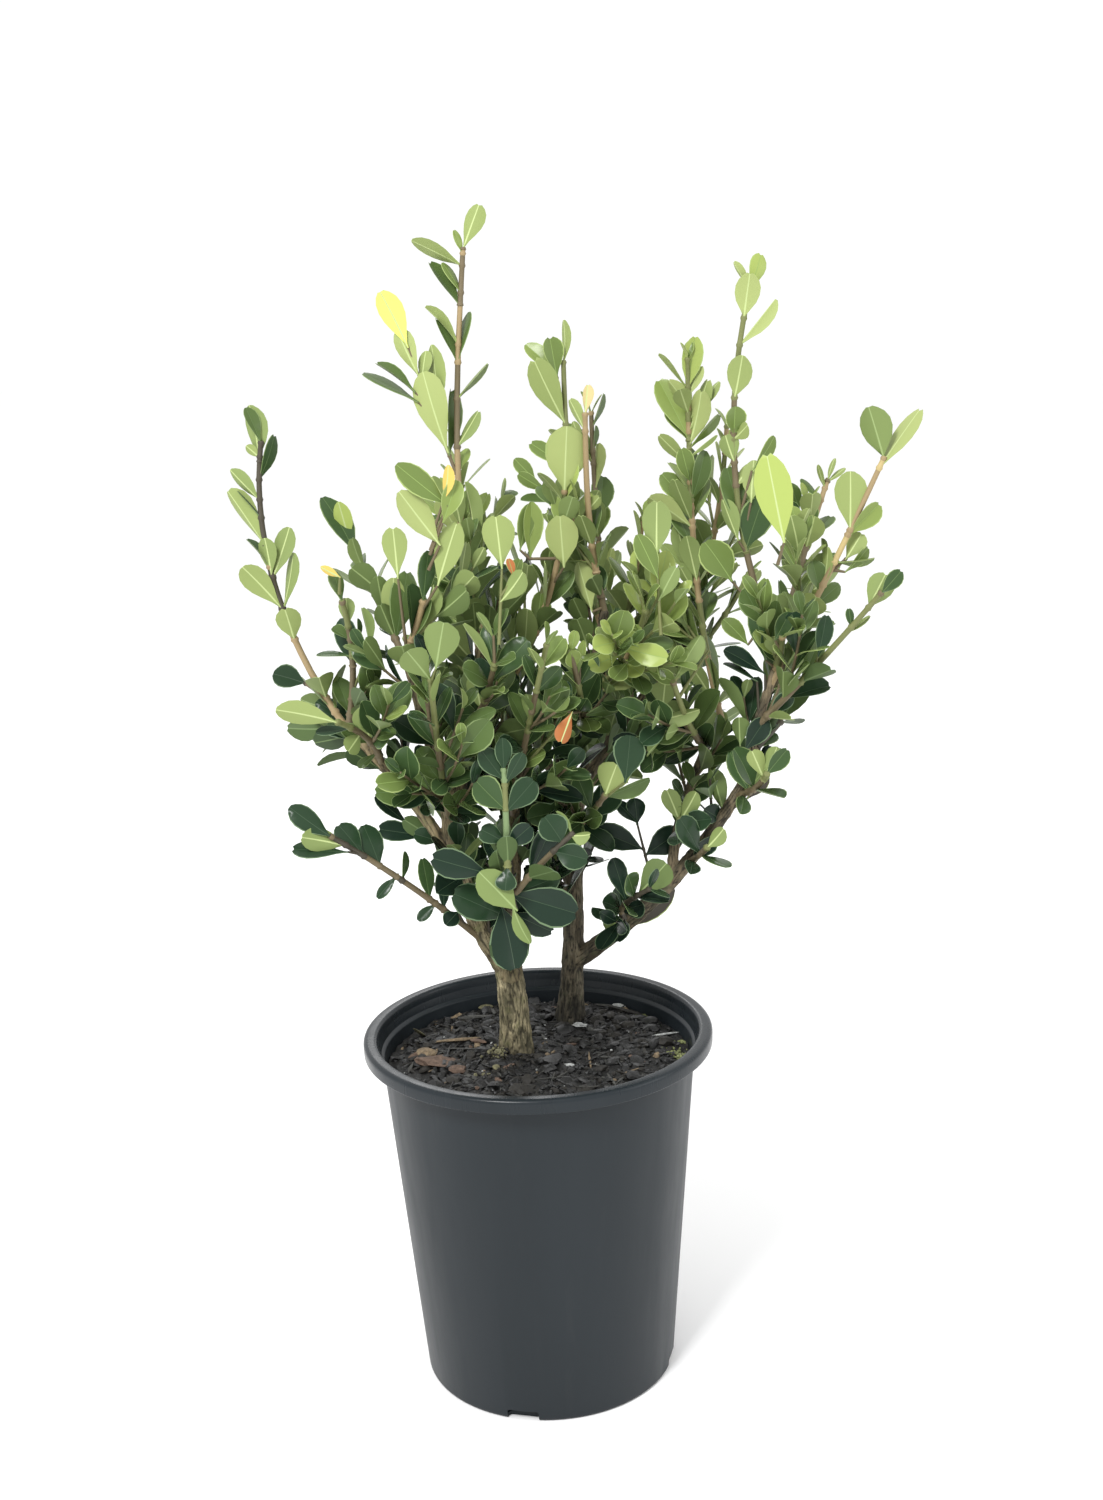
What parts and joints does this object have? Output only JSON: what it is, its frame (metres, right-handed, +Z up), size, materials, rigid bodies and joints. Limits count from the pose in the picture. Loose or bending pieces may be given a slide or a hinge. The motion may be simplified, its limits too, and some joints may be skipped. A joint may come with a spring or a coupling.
{
  "type": "potted boxwood",
  "caption": "Young boxwood shrub with two trunks, spreading boughs and leafy upright sprays, in a round black nursery pot of bark potting mix.",
  "frame": {"origin": "centre of the pot's flat underside, where the pot stands on the ground", "axes": "+Z up along the pot's axis; +X to the right and +Y away from the viewer, as seen in the picture"},
  "size_m": [0.3035, 0.2133, 0.5474],
  "materials": {
    "pot_plastic": "satin",
    "potting_mix": "matte",
    "trunk_bark": "matte",
    "bough_bark": "matte",
    "leaf_dark": "satin",
    "leaf_middle": "satin",
    "leaf_light": "satin"
  },
  "bodies": {
    "root": {"pot": "pot_plastic", "soil": "potting_mix", "trunk_left": "trunk_bark", "trunk_right": "trunk_bark", "bough_left": "bough_bark", "bough_middle": "bough_bark", "bough_front": "bough_bark", "bough_low_left": "bough_bark", "bough_left_outer": "bough_bark", "bough_left_inner": "bough_bark", "bough_right": "bough_bark", "bough_right_top": "bough_bark", "bough_right_inner": "bough_bark", "bough_centre": "bough_bark", "bough_back": "bough_bark", "bough_back_left": "bough_bark", "bough_back_right": "bough_bark", "spray_left_tall": "leaf_light", "spray_left_centre": "leaf_light", "spray_left_small": "leaf_middle", "spray_left_upper": "leaf_middle", "spray_far_left": "leaf_middle", "spray_low_left": "leaf_dark", "spray_left_low_front": "leaf_middle", "spray_left_low_back": "leaf_dark", "spray_left_dark": "leaf_dark", "spray_front": "leaf_dark", "spray_front_right": "leaf_dark", "spray_front_low": "leaf_dark", "spray_low_centre": "leaf_dark", "spray_between": "leaf_dark", "spray_left_front": "leaf_middle", "spray_left_inner_front": "leaf_middle", "spray_middle": "leaf_light", "spray_middle_front": "leaf_middle", "spray_centre_top": "leaf_light", "spray_centre": "leaf_light", "spray_right_inner": "leaf_light", "spray_right_tall": "leaf_light", "spray_far_right": "leaf_light", "spray_right_upper": "leaf_light", "spray_right_outer": "leaf_middle", "spray_right_dark": "leaf_dark", "spray_right_front": "leaf_middle", "spray_inner_front": "leaf_middle", "spray_right_low": "leaf_dark", "spray_right_mid": "leaf_middle", "spray_centre_right": "leaf_light", "spray_right_bright": "leaf_light", "spray_centre_low": "leaf_middle", "spray_right_centre": "leaf_middle", "spray_centre_front": "leaf_middle", "spray_back": "leaf_light", "spray_back_left": "leaf_light", "spray_back_right": "leaf_light", "spray_back_low": "leaf_middle", "spray_back_outer_left": "leaf_middle", "spray_back_outer_right": "leaf_middle", "spray_back_inner": "leaf_light", "spray_back_middle": "leaf_light"}
  },
  "joints": []
}
